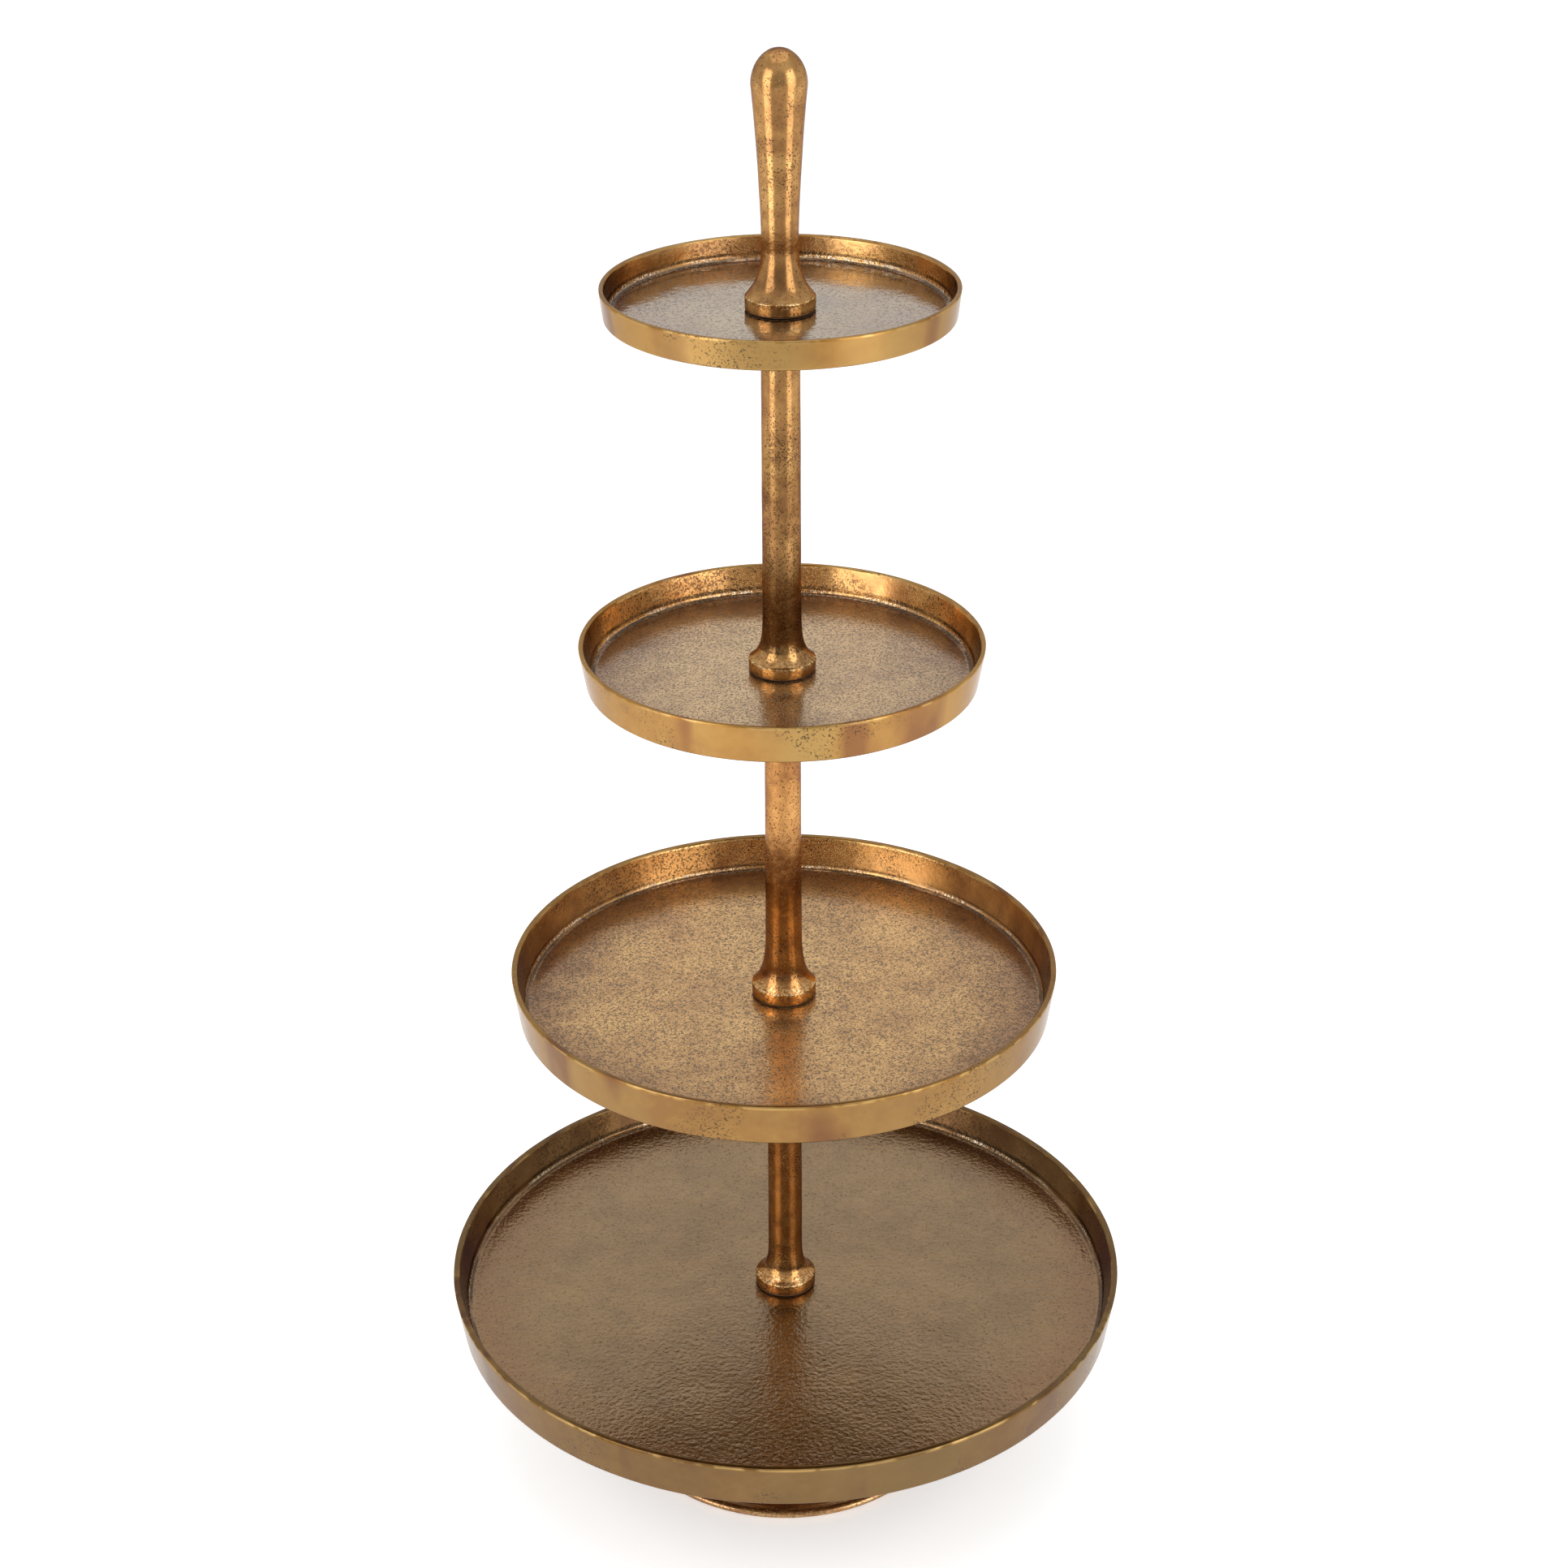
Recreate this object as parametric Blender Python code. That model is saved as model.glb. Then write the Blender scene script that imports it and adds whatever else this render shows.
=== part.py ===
"""Four-tier cast cake stand that screws together from a foot, four trays, stems and a handle.

Units are metres, +Z is up, and the origin is on the table under the stand's own axis.
Every piece is turned about that axis, so each one is an outline of (radius, height) points
that is spun once round. Pieces that touch in the real stand keep a gap of GAP here.
"""

import math

import bmesh
import bpy

# Driving dimensions -------------------------------------------------------------------------
GAP = 0.0003                    # space kept between two pieces that touch
ROUND_SEGMENTS = 48             # facets round the trays and the foot
STEM_SEGMENTS = 28              # facets round the stems and the handle
SMALL_SEGMENTS = 16             # facets round studs, washers and pads

# Trays, lowest first: rim radius, radius at the underside, rim height, underside height and
# wall thickness.
TRAYS = (
    {"rim_r": 0.2030, "base_r": 0.1990, "rim_z": 0.1253, "under_z": 0.0972, "wall": 0.0042},
    {"rim_r": 0.1583, "base_r": 0.1551, "rim_z": 0.3333, "under_z": 0.3079, "wall": 0.0036},
    {"rim_r": 0.1125, "base_r": 0.1090, "rim_z": 0.5364, "under_z": 0.5142, "wall": 0.0030},
    {"rim_r": 0.0949, "base_r": 0.0932, "rim_z": 0.7387, "under_z": 0.7224, "wall": 0.0029},
)
COLLAR_Z = (0.1065, 0.3125, 0.5202, 0.7263)     # underside of the collar that clamps each tray
TRAY_HOLE_R = 0.0046
TRAY_FILLET_R = 0.0035          # inside corner between a tray's wall and its floor
RIM_ROUND = 0.0007              # worn edge along the rim

# Stems, lowest first: collar radius, collar height, shaft radius, and the two numbers of the
# flare over the collar: the height over which it falls to about a third, and a power that is
# 1 where the flare leaves the collar's edge as a cone, and more where it leaves it rounded.
STEMS = (
    {"collar_r": 0.0183, "collar_h": 0.0061, "shaft_r": 0.0104, "fall_h": 0.0052, "power": 1.15},
    {"collar_r": 0.0187, "collar_h": 0.0068, "shaft_r": 0.0105, "fall_h": 0.0083, "power": 1.0},
    {"collar_r": 0.0187, "collar_h": 0.0059, "shaft_r": 0.0108, "fall_h": 0.0058, "power": 1.0},
)
FLARE_HEIGHT = 0.030
FLARE_STEPS = (0.05, 0.11, 0.19, 0.29, 0.43, 0.65, 1.0)     # shares of the flare's height
COLLAR_ROUND = 0.0004
STEM_TAPER = 0.0002             # how much thinner a shaft is under its head
HEAD_R = 0.0150                 # flange on top of a stem, which carries the tray
HEAD_H = 0.0026
HEAD_FLARE_H = 0.0090
HEAD_FLARE_STEPS = ((0.15, 0.55), (0.50, 0.85))     # shares of the flare's width and height

HANDLE = {"collar_r": 0.0188, "collar_h": 0.0062, "shaft_r": 0.0096, "fall_h": 0.0090,
          "power": 1.2}
GRIP_NECK_Z = 0.7575            # narrowest place of the grip
GRIP_WIDE_Z = 0.8430            # widest place of the grip
GRIP_WIDE_R = 0.0148
GRIP_POWER = 1.6                # how late the grip widens
GRIP_TOP_Z = 0.8613
GRIP_STEPS = 6                  # facets up the grip, and again over its dome

BASE_STEM = {"collar_r": 0.0240, "collar_h": 0.0065, "shaft_r": 0.0125, "fall_h": 0.0065,
             "power": 1.1}
BASE_HEAD_R = 0.0180

# Screw joints: M8 x 1.25 steel studs, fixed in the upper section, 15 mm into the lower one.
STUD_R = 0.0040
STUD_BORE_R = 0.0043
STUD_HELD = 0.0175              # length held in the upper section
STUD_ENGAGED = 0.0150           # length screwed into the lower section
BORE_SPARE = 0.0015             # space past the stud's end
STUD_CHAMFER = 0.0008

SEAT_WASHER_R = 0.0140          # between a stem's head and its tray
SEAT_WASHER_T = 0.0008
COLLAR_WASHER_R = 0.0179        # between a tray's floor and the collar over it
COLLAR_WASHER_T = 0.0005
WASHER_HOLE_R = 0.0046

# Foot: a cast disc with a rounded lip, raised in the middle, on four felt pads.
FOOT_LIP_R = 0.0998
FOOT_LIP_INNER_R = 0.0932
FOOT_UNDER_Z = 0.0010
FOOT_LIP_TOP_Z = 0.0063
FOOT_BOSS_R = 0.0265
FOOT_BOSS_Z = 0.0120
FOOT_SHOULDER = (0.0385, 0.0085)        # (radius, height) where the boss meets the slope
FOOT_SLOPE_END = (0.0700, 0.0060)       # and where the slope turns level towards the lip
FOOT_RECESS_R = 0.0820
FOOT_RECESS_Z = 0.0020
FOOT_RECESS_DRAFT = 0.0010      # how far the recess's side leans outward
FOOT_COUNTERBORE_R = 0.0120
FOOT_COUNTERBORE_Z = 0.0070
PAD_COUNT = 4
PAD_CIRCLE_R = 0.0900
PAD_R = 0.0060

FOOT_WASHER_R = 0.0095
FOOT_WASHER_T = 0.0012
SCREW_HEAD_R = 0.0065
SCREW_HEAD_H = 0.0035
SCREW_HELD = 0.0180             # length of the foot screw inside the base stem

# Colours: name -> base colour, roughness, metallic.
FINISHES = {
    "cast_tray": ((0.52, 0.34, 0.17), 0.38, 1.0),
    "cast_stem": ((0.42, 0.24, 0.10), 0.34, 1.0),
    "steel": ((0.60, 0.60, 0.62), 0.30, 1.0),
    "washer": ((0.14, 0.08, 0.04), 0.80, 0.0),
    "felt": ((0.08, 0.05, 0.03), 0.95, 0.0),
}


def clear_scene():
    """Remove every object, so that only this model is in the file."""
    for item in list(bpy.data.objects):
        bpy.data.objects.remove(item)


def finish(name):
    """Return the named Principled material, made once."""
    found = bpy.data.materials.get(name)
    if found:
        return found
    color, roughness, metallic = FINISHES[name]
    material = bpy.data.materials.new(name)
    material.use_nodes = True
    shader = material.node_tree.nodes["Principled BSDF"]
    shader.inputs["Base Color"].default_value = (*color, 1.0)
    shader.inputs["Roughness"].default_value = roughness
    shader.inputs["Metallic"].default_value = metallic
    return material


# Outlines -----------------------------------------------------------------------------------
def arc(centre, radii, start_deg, end_deg, steps):
    """Points of an elliptical arc round centre, with radii (across, up)."""
    points = []
    for step in range(steps + 1):
        angle = math.radians(start_deg + (end_deg - start_deg) * step / steps)
        points.append((centre[0] + radii[0] * math.cos(angle),
                       centre[1] + radii[1] * math.sin(angle)))
    return points


def flare_radius(shape, height):
    """Radius of a stem at a height over its collar: full at the collar, the shaft's far above."""
    left = math.exp(-(height / shape["fall_h"]) ** shape["power"])
    return shape["shaft_r"] + (shape["collar_r"] - shape["shaft_r"]) * left


def collar_and_flare(shape, bottom_z):
    """Outside of a stem from its collar's lower edge up to where its shaft begins."""
    band_top = bottom_z + shape["collar_h"]
    points = [(shape["collar_r"], bottom_z),
              (shape["collar_r"], band_top - COLLAR_ROUND),
              (shape["collar_r"] - COLLAR_ROUND, band_top)]
    for share in FLARE_STEPS:
        height = share * FLARE_HEIGHT
        points.append((flare_radius(shape, height), band_top + height))
    return points


def stud_bore(bottom_z, depth):
    """Inside of the blind bore in a section's lower end, from its end on the axis, down."""
    return [(0.0, bottom_z + depth), (STUD_BORE_R, bottom_z + depth), (STUD_BORE_R, bottom_z)]


def head_and_socket(shaft_r, head_r, top_z):
    """Flange on a stem's top with the blind socket for the next stud, down to the axis."""
    depth = STUD_ENGAGED + BORE_SPARE
    flare_z = top_z - HEAD_H - HEAD_FLARE_H
    flare = [(shaft_r + across * (head_r - shaft_r), flare_z + up * HEAD_FLARE_H)
             for across, up in HEAD_FLARE_STEPS]
    return ([(shaft_r, flare_z)]
            + flare
            + [(head_r, top_z - HEAD_H), (head_r, top_z),
               (STUD_BORE_R, top_z), (STUD_BORE_R, top_z - depth), (0.0, top_z - depth)])


def stem_outline(shape, bottom_z, top_z, held, head_r):
    """Whole outline of a stem, from axis to axis."""
    return (stud_bore(bottom_z, held + BORE_SPARE)
            + collar_and_flare(shape, bottom_z)
            + head_and_socket(shape["shaft_r"] - STEM_TAPER, head_r, top_z))


def handle_outline(bottom_z):
    """Outline of the handle: collar, narrow neck, widening grip and domed top."""
    points = stud_bore(bottom_z, STUD_HELD + BORE_SPARE) + collar_and_flare(HANDLE, bottom_z)
    points = [point for point in points if point[1] < GRIP_NECK_Z]
    neck_r = flare_radius(HANDLE, GRIP_NECK_Z - bottom_z - HANDLE["collar_h"])
    grip_length = GRIP_WIDE_Z - GRIP_NECK_Z
    for step in range(GRIP_STEPS + 1):
        share = step / GRIP_STEPS
        widening = (GRIP_WIDE_R - neck_r) * share ** GRIP_POWER
        points.append((neck_r + widening, GRIP_NECK_Z + grip_length * share))
    dome = arc((0.0, GRIP_WIDE_Z), (GRIP_WIDE_R, GRIP_TOP_Z - GRIP_WIDE_Z), 0, 90, GRIP_STEPS)
    return points + dome[1:-1] + [(0.0, GRIP_TOP_Z)]


def floor_z(tier):
    """Height of a tray's floor: its collar washer lies between it and the collar."""
    return COLLAR_Z[tier] - COLLAR_WASHER_T - 2 * GAP


def head_z(tier):
    """Height of the stem's top under a tray."""
    return TRAYS[tier]["under_z"] - SEAT_WASHER_T - 2 * GAP


def tray_outline(tier):
    """Closed outline of one tray: a flat floor with a hole, and a low wall that leans out."""
    tray = TRAYS[tier]
    inner_top_r = tray["rim_r"] - tray["wall"]
    inner_low_r = tray["base_r"] - tray["wall"]
    top = floor_z(tier)
    fillet_centre = (inner_low_r - TRAY_FILLET_R, top + TRAY_FILLET_R)
    return ([(TRAY_HOLE_R, top)]
            + arc(fillet_centre, (TRAY_FILLET_R, TRAY_FILLET_R), -90, 0, 3)
            + [(inner_top_r, tray["rim_z"] - RIM_ROUND),
               (inner_top_r + RIM_ROUND, tray["rim_z"]),
               (tray["rim_r"] - RIM_ROUND, tray["rim_z"]),
               (tray["rim_r"], tray["rim_z"] - RIM_ROUND),
               (tray["base_r"], tray["under_z"] + RIM_ROUND),
               (tray["base_r"] - RIM_ROUND, tray["under_z"]),
               (TRAY_HOLE_R, tray["under_z"])])


def foot_outline():
    """Closed outline of the foot: boss, shallow slope, half-round lip and recessed underside."""
    lip_mid_r = (FOOT_LIP_R + FOOT_LIP_INNER_R) / 2
    lip_mid_z = (FOOT_LIP_TOP_Z + FOOT_UNDER_Z) / 2
    lip = arc((lip_mid_r, lip_mid_z),
              (FOOT_LIP_R - lip_mid_r, FOOT_LIP_TOP_Z - lip_mid_z), 150, -70, 8)
    return ([(STUD_BORE_R, FOOT_BOSS_Z), (FOOT_BOSS_R, FOOT_BOSS_Z),
             FOOT_SHOULDER, FOOT_SLOPE_END]
            + lip
            + [(FOOT_RECESS_R + FOOT_RECESS_DRAFT, FOOT_UNDER_Z),
               (FOOT_RECESS_R, FOOT_RECESS_Z),
               (FOOT_COUNTERBORE_R, FOOT_RECESS_Z), (FOOT_COUNTERBORE_R, FOOT_COUNTERBORE_Z),
               (STUD_BORE_R, FOOT_COUNTERBORE_Z)])


def stud_outline(bottom_z, top_z):
    """Outline of a stud with chamfered ends, from axis to axis."""
    return [(0.0, top_z), (STUD_R - STUD_CHAMFER, top_z), (STUD_R, top_z - STUD_CHAMFER),
            (STUD_R, bottom_z + STUD_CHAMFER), (STUD_R - STUD_CHAMFER, bottom_z),
            (0.0, bottom_z)]


def washer_outline(outer_r, bottom_z, thickness):
    """Closed outline of a flat washer."""
    return [(WASHER_HOLE_R, bottom_z + thickness), (outer_r, bottom_z + thickness),
            (outer_r, bottom_z), (WASHER_HOLE_R, bottom_z)]


# Solids -------------------------------------------------------------------------------------
def turned(name, outline, segments, material_name, place=(0.0, 0.0, 0.0)):
    """Spin an outline once round Z into a closed solid and add it as one named object.

    An outline whose two ends are on the axis is left open there. Any other one is closed.
    """
    shape = bmesh.new()
    corners = [shape.verts.new((radius, 0.0, height)) for radius, height in outline]
    edges = [shape.edges.new(pair) for pair in zip(corners, corners[1:])]
    if outline[0][0] > 0.0:
        edges.append(shape.edges.new((corners[-1], corners[0])))
    bmesh.ops.spin(shape, geom=corners + edges, cent=(0, 0, 0), axis=(0, 0, 1),
                   angle=math.tau, steps=segments, use_merge=True)
    bmesh.ops.remove_doubles(shape, verts=shape.verts, dist=1e-6)
    bmesh.ops.recalc_face_normals(shape, faces=shape.faces)
    mesh = bpy.data.meshes.new(name)
    shape.to_mesh(mesh)
    shape.free()
    mesh.shade_smooth()
    mesh.set_sharp_from_angle(angle=math.radians(35))
    mesh.materials.append(finish(material_name))
    item = bpy.data.objects.new(name, mesh)
    item.location = place
    bpy.context.scene.collection.objects.link(item)
    return item


def section_frame(tier):
    """Empty on a screw joint's axis, at the collar's underside, that carries one section."""
    empty = bpy.data.objects.new(f"section_{tier + 1}_axis", None)
    empty.location = (0.0, 0.0, COLLAR_Z[tier])
    empty.empty_display_size = 0.02
    bpy.context.scene.collection.objects.link(empty)
    return empty


def hang_on(empty, pieces):
    """Parent pieces to an empty without moving them."""
    for piece in pieces:
        piece.parent = empty
        piece.matrix_parent_inverse = empty.matrix_basis.inverted()


def add_foot():
    """Foot, its felt pads, and the screw and washer that hold the base stem from below."""
    turned("foot", foot_outline(), ROUND_SEGMENTS, "cast_stem")
    for number in range(PAD_COUNT):
        angle = math.tau * (number + 0.5) / PAD_COUNT
        place = (PAD_CIRCLE_R * math.cos(angle), PAD_CIRCLE_R * math.sin(angle), 0.0)
        top_z = FOOT_UNDER_Z - GAP
        outline = [(0.0, top_z), (PAD_R, top_z), (PAD_R, 0.0), (0.0, 0.0)]
        turned(f"foot_pad_{number + 1}", outline, SMALL_SEGMENTS, "felt", place)
    washer_z = FOOT_COUNTERBORE_Z - GAP - FOOT_WASHER_T
    turned("foot_washer", washer_outline(FOOT_WASHER_R, washer_z, FOOT_WASHER_T),
           SMALL_SEGMENTS, "steel")
    head_top = washer_z - GAP
    shaft_top = FOOT_BOSS_Z + GAP + SCREW_HELD
    screw = [(0.0, shaft_top), (STUD_R - STUD_CHAMFER, shaft_top),
             (STUD_R, shaft_top - STUD_CHAMFER), (STUD_R, head_top), (SCREW_HEAD_R, head_top),
             (SCREW_HEAD_R, head_top - SCREW_HEAD_H), (0.0, head_top - SCREW_HEAD_H)]
    turned("foot_screw", screw, SMALL_SEGMENTS, "steel")


def add_base_stem():
    """Short stem between the foot and the lowest tray."""
    outline = stem_outline(BASE_STEM, FOOT_BOSS_Z + GAP, head_z(0), SCREW_HELD, BASE_HEAD_R)
    turned("base_stem", outline, STEM_SEGMENTS, "cast_stem")


def add_tray(tier):
    """One tray and the washer under it."""
    tray = turned(f"tray_{tier + 1}", tray_outline(tier), ROUND_SEGMENTS, "cast_tray")
    seat = turned(f"seat_washer_{tier + 1}",
                  washer_outline(SEAT_WASHER_R, head_z(tier) + GAP, SEAT_WASHER_T),
                  SMALL_SEGMENTS, "washer")
    return [tray, seat]


def add_section(tier):
    """What screws on over a tray: stud and collar washer, and a stem or the handle."""
    bottom_z = COLLAR_Z[tier]
    stud = turned(f"stud_{tier + 1}",
                  stud_outline(head_z(tier) - STUD_ENGAGED, bottom_z + STUD_HELD),
                  SMALL_SEGMENTS, "steel")
    washer = turned(f"collar_washer_{tier + 1}",
                    washer_outline(COLLAR_WASHER_R, floor_z(tier) + GAP, COLLAR_WASHER_T),
                    SMALL_SEGMENTS, "washer")
    if tier < len(STEMS):
        outline = stem_outline(STEMS[tier], bottom_z, head_z(tier + 1), STUD_HELD, HEAD_R)
        body = turned(f"stem_{tier + 1}", outline, STEM_SEGMENTS, "cast_stem")
    else:
        body = turned("handle", handle_outline(bottom_z), STEM_SEGMENTS, "cast_stem")
    return [stud, washer, body]


def main():
    """Build the stand from the foot up. Each section hangs on the empty of its screw joint."""
    clear_scene()
    add_foot()
    add_base_stem()
    add_tray(0)
    for tier in range(len(TRAYS)):
        pieces = add_section(tier)
        if tier + 1 < len(TRAYS):
            pieces += add_tray(tier + 1)
        hang_on(section_frame(tier), pieces)


main()
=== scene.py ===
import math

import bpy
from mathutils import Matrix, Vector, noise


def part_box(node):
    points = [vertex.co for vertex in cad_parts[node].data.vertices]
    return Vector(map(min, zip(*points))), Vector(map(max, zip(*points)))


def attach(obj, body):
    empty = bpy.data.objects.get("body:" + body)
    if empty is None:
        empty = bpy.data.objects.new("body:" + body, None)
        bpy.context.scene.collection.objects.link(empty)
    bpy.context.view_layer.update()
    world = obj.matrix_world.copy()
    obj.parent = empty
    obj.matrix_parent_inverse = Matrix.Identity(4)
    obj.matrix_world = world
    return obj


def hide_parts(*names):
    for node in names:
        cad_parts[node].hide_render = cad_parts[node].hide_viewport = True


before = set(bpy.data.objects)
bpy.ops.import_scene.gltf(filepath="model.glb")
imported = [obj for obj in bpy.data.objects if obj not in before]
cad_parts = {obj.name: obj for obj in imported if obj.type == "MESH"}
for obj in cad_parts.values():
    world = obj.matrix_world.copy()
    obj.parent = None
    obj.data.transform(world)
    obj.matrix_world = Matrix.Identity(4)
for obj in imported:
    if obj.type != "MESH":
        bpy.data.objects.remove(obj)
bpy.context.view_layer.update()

# Looks of the four-tier cake stand: cast antique brass trays, stems and handle, in a pale studio.
#
# Every piece is turned about an upright axis from an outline of (radius, height, face) points,
# listed so that the solid lies on the right: along a top face outward, then down an outer side.
# The hand-cast unevenness is then moved into the mesh point by point, and the materials add the
# fine grain.

MM = 0.001
TIERS = (1, 2, 3, 4)             # lowest tray first
BODY_OVER = {1: "section_1", 2: "section_2", 3: "section_3", 4: "handle_section"}
BODY_UNDER = {1: "base", 2: "section_1", 3: "section_2", 4: "section_3"}

# Outline sizes that a box doesn't tell, in metres. They repeat the CAD model's.
GAP = 0.3 * MM                   # kept between touching pieces
TRAY_WALL = {1: 4.2 * MM, 2: 3.6 * MM, 3: 3.0 * MM, 4: 2.9 * MM}
TRAY_LEAN = {1: 4.0 * MM, 2: 3.2 * MM, 3: 3.5 * MM, 4: 1.7 * MM}
HOLE_R = 4.6 * MM                # of the trays and washers
STEM_SHAPES = {
    "stem_1": {"shaft_r": 10.4 * MM, "band": 6.1 * MM, "fall": 5.2 * MM, "power": 1.15},
    "stem_2": {"shaft_r": 10.5 * MM, "band": 6.8 * MM, "fall": 8.3 * MM, "power": 1.0},
    "stem_3": {"shaft_r": 10.8 * MM, "band": 5.9 * MM, "fall": 5.8 * MM, "power": 1.0},
    "handle": {"shaft_r": 9.6 * MM, "band": 6.2 * MM, "fall": 9.0 * MM, "power": 1.2},
    "base_stem": {"shaft_r": 12.5 * MM, "band": 6.5 * MM, "fall": 6.5 * MM, "power": 1.1},
}
HEAD_R = {"stem_1": 15 * MM, "stem_2": 15 * MM, "stem_3": 15 * MM, "base_stem": 18 * MM}
STUD_BORE_R = 4.3 * MM
THREAD_PITCH = 1.25 * MM
THREAD_DEPTH = 0.65 * MM


# Outlines -----------------------------------------------------------------------------------
def line(start, end, steps, face):
    """Evenly spaced points after start and up to end, on one face."""
    return [(start[0] + (end[0] - start[0]) * step / steps,
             start[1] + (end[1] - start[1]) * step / steps, face)
            for step in range(1, steps + 1)]


def arc(centre, radii, start_deg, end_deg, steps, face):
    """Points along an elliptical arc, after its start and up to its end."""
    points = []
    for step in range(1, steps + 1):
        angle = math.radians(start_deg + (end_deg - start_deg) * step / steps)
        points.append((centre[0] + radii[0] * math.cos(angle),
                       centre[1] + radii[1] * math.sin(angle), face))
    return points


def rounded(corners, radii, face, steps=4):
    """Outline through corners with each one rounded by its radius, as quadratic curves."""
    points = []
    for index, corner in enumerate(corners):
        here = Vector(corner)
        if radii[index] == 0.0:
            points.append((here.x, here.y, face))
            continue
        before = Vector(corners[index - 1])
        after = Vector(corners[(index + 1) % len(corners)])
        start = here + (before - here).normalized() * radii[index]
        end = here + (after - here).normalized() * radii[index]
        for step in range(steps + 1):
            share = step / steps
            bent = start.lerp(here, share).lerp(here.lerp(end, share), share)
            points.append((bent.x, bent.y, face))
    return points


# Turned meshes ------------------------------------------------------------------------------
SHARP_DEG = 50                   # faces that meet at more than this have a hard edge


def outline_normals(outline, closed):
    """Outward direction in the (radius, height) plane at each outline point."""
    count = len(outline)
    normals = []
    for index in range(count):
        low = (index - 1) % count if closed else max(index - 1, 0)
        high = (index + 1) % count if closed else min(index + 1, count - 1)
        across = outline[high][0] - outline[low][0]
        up = outline[high][1] - outline[low][1]
        size = math.hypot(across, up) or 1.0
        normals.append((-up / size, across / size))
    return normals


def turned_points(outline, closed, segments, relief, wear_and_painted_light):
    """Points of a turned outline, the mark at each (scuffed metal and soiling, painted highlights
    and painted shade), and each ring's indices into them.
    """
    points = []
    wear_and_painted_light_values = []
    rings = []
    for (radius, height, face), normal in zip(outline, outline_normals(outline, closed)):
        turns = 1 if radius == 0.0 else segments
        ring = []
        for step in range(turns):
            angle = math.tau * step / segments
            cosine = math.cos(angle)
            sine = math.sin(angle)
            place = Vector((radius * cosine, radius * sine, height))
            outward = Vector((normal[0] * cosine, normal[0] * sine, normal[1]))
            ring.append(len(points))
            wear_and_painted_light_values.append(wear_and_painted_light(place, face) if wear_and_painted_light else 0.0)
            if relief and turns > 1:
                place = place + outward * relief(place, outward, angle, face)
            points.append(place)
        rings.append(ring)
    return points, wear_and_painted_light_values, rings


def bridged(upper, lower, segments):
    """Polygons between two rings, of which one may be a single point on the axis."""
    polygons = []
    for step in range(segments):
        ahead = (step + 1) % segments
        if len(upper) == 1:
            polygons.append((upper[0], lower[step], lower[ahead]))
        elif len(lower) == 1:
            polygons.append((upper[step], lower[0], upper[ahead]))
        else:
            polygons.append((upper[step], lower[step], lower[ahead], upper[ahead]))
    return polygons


def spun(name, outline, segments, materials, relief=None, wear_and_painted_light=None):
    """Turn an outline about Z into one closed mesh object.

    materials is one material, or each face's own by the face's name. relief(place, outward,
    angle, face) gives how far a point moves outward, and the last argument, called with (place,
    face), gives the point's mark, which the materials read as an attribute: over 0 for scuffed
    bright metal and painted highlights, under 0 for soiling and painted shade.
    """
    by_face = materials if isinstance(materials, dict) else {}
    slots = list(by_face)
    closed = outline[0][0] > 0.0
    points, wear_and_painted_light_values, rings = turned_points(outline, closed, segments, relief, wear_and_painted_light)
    polygons = []
    kinds = []
    last = len(rings) if closed else len(rings) - 1
    for index in range(last):
        following = (index + 1) % len(rings)
        face = outline[following][2]
        polygons += bridged(rings[index], rings[following], segments)
        kinds += [slots.index(face) if slots else 0] * segments
    mesh = bpy.data.meshes.new(name)
    mesh.from_pydata(points, [], polygons)
    for material in by_face.values() or [materials]:
        mesh.materials.append(material)
    mesh.polygons.foreach_set("material_index", kinds)
    # Each point's mark: scuffed bright metal and painted highlights over 0, soiling and painted
    # shade under 0.
    attribute = mesh.attributes.new("wear_and_painted_light", "FLOAT", "POINT")
    attribute.data.foreach_set("value", wear_and_painted_light_values)
    mesh.shade_smooth()
    mesh.set_sharp_from_angle(angle=math.radians(SHARP_DEG))
    piece = bpy.data.objects.new(name, mesh)
    bpy.context.scene.collection.objects.link(piece)
    return piece


def placed(piece, body, slot, *nodes):
    """Put a piece on its body and hide the CAD nodes that it stands in for. The slot is not used.
    """
    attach(piece, body)
    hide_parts(*nodes)


# Unevenness of the castings -----------------------------------------------------------------
def uneven(place, wavelength, seed):
    """Smooth noise, about -1 to 1, that changes over wavelength."""
    shifted = Vector((place.x + seed, place.y - 0.37 * seed, place.z + 0.61 * seed))
    return noise.fractal(shifted / wavelength, 0.9, 2.1, 2)


def clamped(value):
    """Value held between 0 and 1."""
    return max(0.0, min(1.0, value))


def rippled(place, seed, soft, fine):
    """Move in and out by soft waves and a fine grain. Each is a (height, wavelength)."""
    return soft[0] * uneven(place, soft[1], seed) + fine[0] * uneven(place, fine[1], seed + 1)


def sunk(place, seed, soft, fine):
    """Move only inward, by soft dents and a fine grain. Each is a (depth, wavelength)."""
    dent = clamped(0.5 + 0.5 * uneven(place, soft[1], seed))
    return -soft[0] * dent - fine[0] * (1 + uneven(place, fine[1], seed + 1))


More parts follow.
